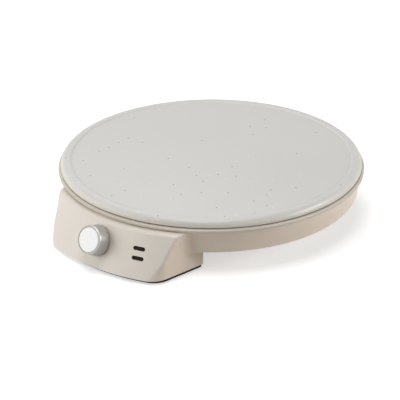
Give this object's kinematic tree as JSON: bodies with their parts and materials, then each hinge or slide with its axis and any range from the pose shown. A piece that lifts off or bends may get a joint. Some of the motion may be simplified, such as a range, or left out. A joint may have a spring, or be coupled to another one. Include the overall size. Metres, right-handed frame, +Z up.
{
  "type": "electric crepe maker",
  "caption": "Low electric crepe maker: round flat cooking plate on a shallow dish housing, with a sloping front pedestal that holds a thermostat knob and indicator lamps.",
  "frame": {"origin": "on the table under the middle of the whole outline", "axes": "+Z up from the table, -Y out of the front with the knob, +X to the right seen from the front"},
  "size_m": [0.33, 0.3638, 0.0619],
  "materials": {
    "shell_plastic": "satin moulding, warm beige",
    "plate_coating": "satin non-stick coat, pale warm grey with fine speckles",
    "black_plastic": "fine-grained moulding",
    "black_rubber": "matte",
    "knob_silver": "satin",
    "knob_face": "gloss, near white",
    "lamp_lens": "smoked amber",
    "lamp_glass": "clear with an orange tint",
    "element_steel": "dull, heat-darkened",
    "bead_ceramic": "matte",
    "zinc_steel": "zinc-plated",
    "reflector_sheet": "bright sheet",
    "copper_tube": "plain copper",
    "thermostat_case": "pressed can",
    "holder_plastic": "natural nylon",
    "block_plastic": "natural nylon",
    "fuse_case": "matte",
    "tag_brass": "tinned",
    "wire_brown": "silicone sleeve",
    "wire_blue": "silicone sleeve",
    "wire_green": "silicone sleeve",
    "wire_white": "glass-fibre sleeve"
  },
  "bodies": {
    "housing": {"dish_housing": "shell_plastic", "crepe_plate": "plate_coating", "base_cover": "black_plastic", "base_screws": "zinc_steel", "front_feet": "black_rubber", "rear_feet": "black_rubber", "heating_element": "element_steel", "element_beads": "bead_ceramic", "element_tags": "tag_brass", "element_straps": "zinc_steel", "strap_screws": "zinc_steel", "bulb_clip": "zinc_steel", "fuse_clip": "zinc_steel", "clip_screws": "zinc_steel", "heat_reflector": "reflector_sheet", "plate_spacers": "zinc_steel", "plate_screws": "zinc_steel", "sensor_bulb": "copper_tube", "thermal_fuse": "fuse_case", "capillary_tube": "copper_tube", "thermostat_body": "thermostat_case", "thermostat_screws": "zinc_steel", "power_lens": "lamp_lens", "heat_lens": "lamp_lens", "power_lamp": "lamp_glass", "heat_lamp": "lamp_glass", "lamp_holder": "holder_plastic", "lamp_holder_screws": "zinc_steel", "terminal_block": "block_plastic", "terminal_screws": "zinc_steel", "cord_bush": "black_rubber", "earth_tag": "tag_brass", "earth_screw": "zinc_steel", "earth_wire": "wire_green", "live_wire": "wire_brown", "neutral_wire": "wire_blue", "switched_wire": "wire_brown", "fuse_wire": "wire_brown", "lamp_wires": "wire_white"},
    "knob": {"control_knob": "knob_silver", "knob_cap": "knob_face", "knob_spring": "zinc_steel", "thermostat_spindle": "zinc_steel"},
    "plunger": {"thermostat_plunger": "bead_ceramic"}
  },
  "joints": [
    {"name": "knob_turn", "type": "hinge", "parent": "housing", "child": "knob", "pos_m": [0, -0.16293, 0.0296], "axis": [0, 0.9135, -0.4067], "range_deg": [0, 270]},
    {"name": "plunger_travel", "type": "slide", "parent": "housing", "child": "plunger", "axis": [0, 0.9135, -0.4067], "range_m": [0, 0.0006]}
  ],
  "couplings": [
    {"joint": "plunger_travel", "follows": "knob_turn", "m_per_rad": 0.000127}
  ]
}
